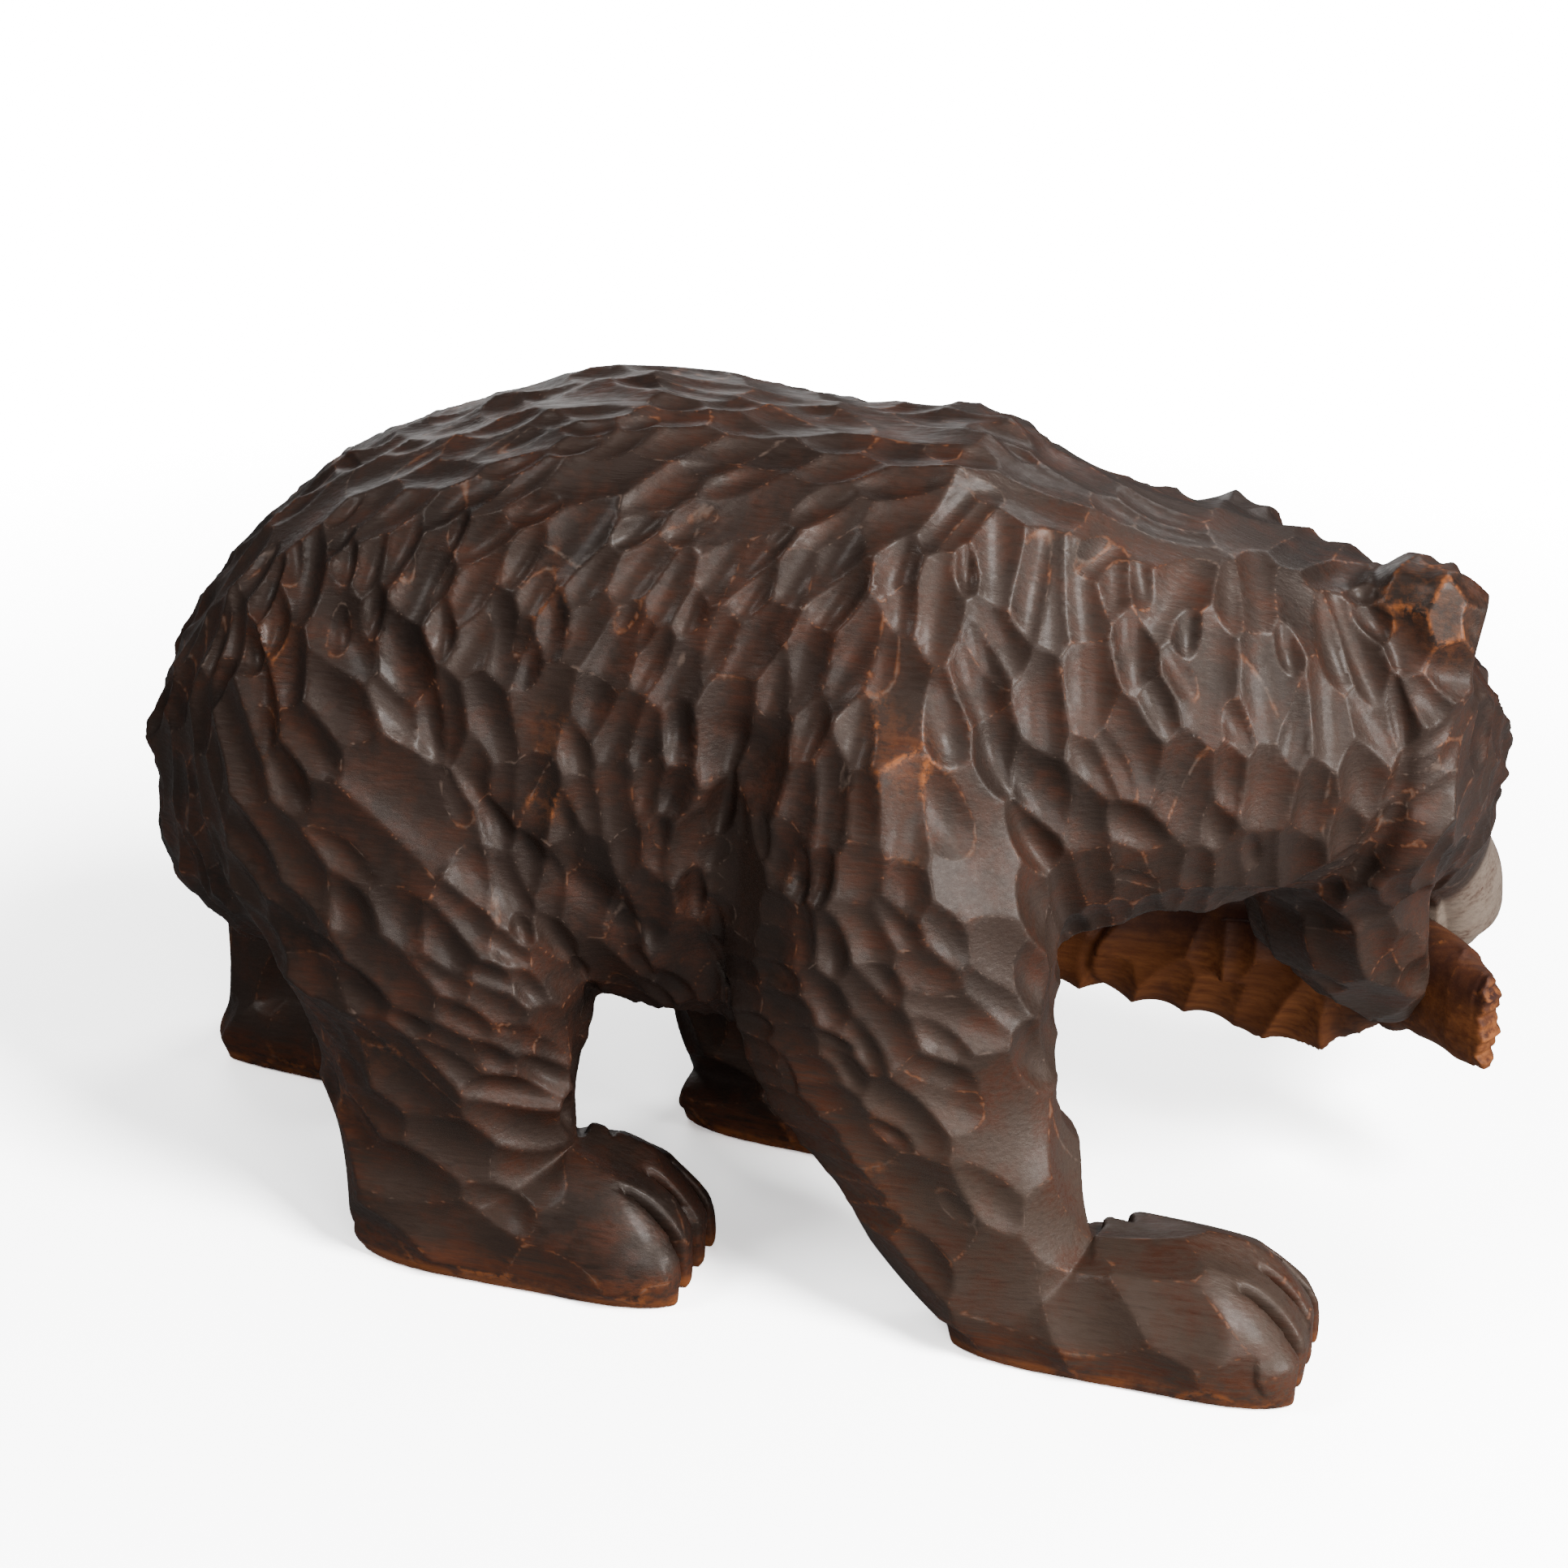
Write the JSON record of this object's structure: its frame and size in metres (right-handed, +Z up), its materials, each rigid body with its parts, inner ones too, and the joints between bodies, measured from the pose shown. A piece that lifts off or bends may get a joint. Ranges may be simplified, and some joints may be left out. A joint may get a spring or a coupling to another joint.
{
  "type": "carved wooden bear figurine",
  "caption": "Hand-carved dark wooden figurine of a walking bear with its head lowered and turned, holding a paler wooden salmon crosswise in its jaws.",
  "frame": {"origin": "on the floor plane under the soles, at the middle of the whole carving's length and width", "axes": "+Z up; +X along the body from tail to chest; +Y to the bear's left, the side its head is turned to"},
  "size_m": [0.3252, 0.154, 0.201],
  "materials": {
    "stained_wood": "satin dark stain under clear lacquer, worn to orange-brown on the ridges",
    "bare_wood": "oiled bare reddish wood",
    "glass_eye": "glossy dark bead"
  },
  "bodies": {
    "root": {"bear_body": "stained_wood", "salmon": "bare_wood", "right_eye": "glass_eye", "left_eye": "glass_eye"}
  },
  "joints": []
}
